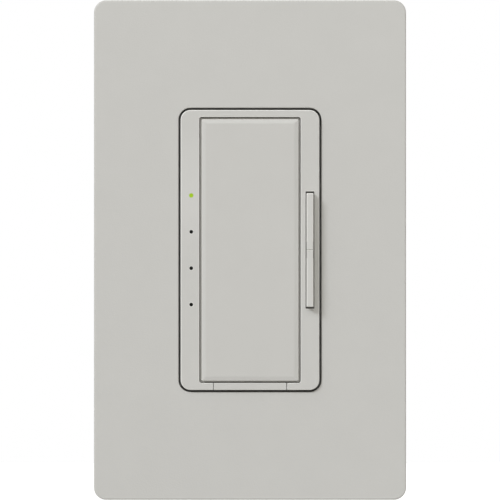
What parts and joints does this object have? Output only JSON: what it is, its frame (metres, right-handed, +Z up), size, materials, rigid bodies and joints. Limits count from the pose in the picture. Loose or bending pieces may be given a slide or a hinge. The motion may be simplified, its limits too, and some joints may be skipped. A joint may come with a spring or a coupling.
{
  "type": "fan speed control switch",
  "caption": "Wall-box fan speed control with a large tap button, a side speed rocker, indicator lights, an air-gap pull tab and a screwless wall plate",
  "frame": {"origin": "on the wall's surface at the middle of the device, which is the middle of the wall plate's rear rim", "axes": "+X is to the right and +Z is up, seen from the room; +Y goes into the wall, and the front faces -Y"},
  "size_m": [0.0746, 0.0414, 0.1194],
  "materials": {
    "face_plastic": "matte warm light grey, fine moulded texture",
    "adapter_plastic": "matte grey moulding",
    "housing_plastic": "matte black moulding",
    "aluminium": "stamped sheet, satin",
    "zinc_steel": "zinc plated",
    "green_screw": "green dyed",
    "fibre": "pressed red fibre",
    "sheet_insulation": "thin insulating sheet",
    "circuit_board": "green laminate",
    "brass": "stamped brass",
    "contact_alloy": "stamped contact alloy",
    "rivet_metal": "satin",
    "clear_plastic": "clear light guide",
    "switch_black": "moulded black",
    "plunger_plastic": "moulded dark grey",
    "lamp_lit": "lit green lamp",
    "lamp_unlit": "unlit lamp",
    "capacitor_case": "filled plastic box",
    "relay_case": "moulded case",
    "varistor_coat": "dipped coat",
    "can_sleeve": "shrunk sleeve",
    "choke_winding": "enamelled winding",
    "thermal_pad": "soft grey pad"
  },
  "bodies": {
    "device": {"wall_plate": "face_plastic", "bezel": "face_plastic", "plate_adapter": "adapter_plastic", "housing": "housing_plastic", "yoke": "aluminium", "adapter_screws": "zinc_steel", "mounting_screws": "zinc_steel", "housing_screws": "zinc_steel", "terminal_screws": "zinc_steel", "ground_screw": "green_screw", "retaining_washers": "fibre", "insulator": "sheet_insulation", "control_board": "circuit_board", "power_board": "circuit_board", "terminal_1": "brass", "terminal_2": "brass", "terminal_3": "brass", "fixed_contacts": "contact_alloy", "triac_rivet": "rivet_metal", "light_pipe": "clear_plastic", "tap_switch": "switch_black", "raise_switch": "switch_black", "lower_switch": "switch_black", "board_header": "switch_black", "microcontroller": "switch_black", "triac": "switch_black", "lamp_1": "lamp_lit", "lamp_2": "lamp_unlit", "lamp_3": "lamp_unlit", "lamp_4": "lamp_unlit", "film_capacitor_1": "capacitor_case", "film_capacitor_2": "capacitor_case", "film_capacitor_3": "capacitor_case", "relay_1": "relay_case", "relay_2": "relay_case", "varistor": "varistor_coat", "can_capacitor": "can_sleeve", "choke": "choke_winding", "thermal_pad": "thermal_pad"},
    "tap": {"tap_button": "face_plastic"},
    "speed_rocker": {"rocker": "face_plastic"},
    "air_gap": {"air_gap_tab": "face_plastic", "contact_bridge": "contact_alloy"},
    "tap_plunger_body": {"tap_plunger": "plunger_plastic"},
    "raise_plunger_body": {"raise_plunger": "plunger_plastic"},
    "lower_plunger_body": {"lower_plunger": "plunger_plastic"}
  },
  "joints": [
    {"name": "tap_press", "type": "hinge", "parent": "device", "child": "tap", "pos_m": [0, -0.005, 0.02822], "axis": [1, 0, 0], "range_deg": [0, 1], "stiffness_Nm_per_rad": 2, "springref_deg": -0.57},
    {"name": "speed_rock", "type": "hinge", "parent": "device", "child": "speed_rocker", "pos_m": [0.01432, -0.005, 0], "axis": [1, 0, 0], "range_deg": [-1.5, 1.5], "stiffness_Nm_per_rad": 0.3},
    {"name": "air_gap_pull", "type": "slide", "parent": "device", "child": "air_gap", "axis": [0, -1, 0], "range_m": [0, 0.004]},
    {"name": "tap_plunger_press", "type": "slide", "parent": "device", "child": "tap_plunger_body", "axis": [0, 1, 0], "range_m": [0, 0.000354]},
    {"name": "raise_plunger_press", "type": "slide", "parent": "device", "child": "raise_plunger_body", "axis": [0, 1, 0], "range_m": [-0.000237, 0.000237]},
    {"name": "lower_plunger_press", "type": "slide", "parent": "device", "child": "lower_plunger_body", "axis": [0, 1, 0], "range_m": [-0.000237, 0.000237]}
  ],
  "couplings": [
    {"joint": "tap_plunger_press", "follows": "tap_press", "m_per_rad": 0.0202},
    {"joint": "raise_plunger_press", "follows": "speed_rock", "m_per_rad": -0.009},
    {"joint": "lower_plunger_press", "follows": "speed_rock", "m_per_rad": 0.009}
  ]
}
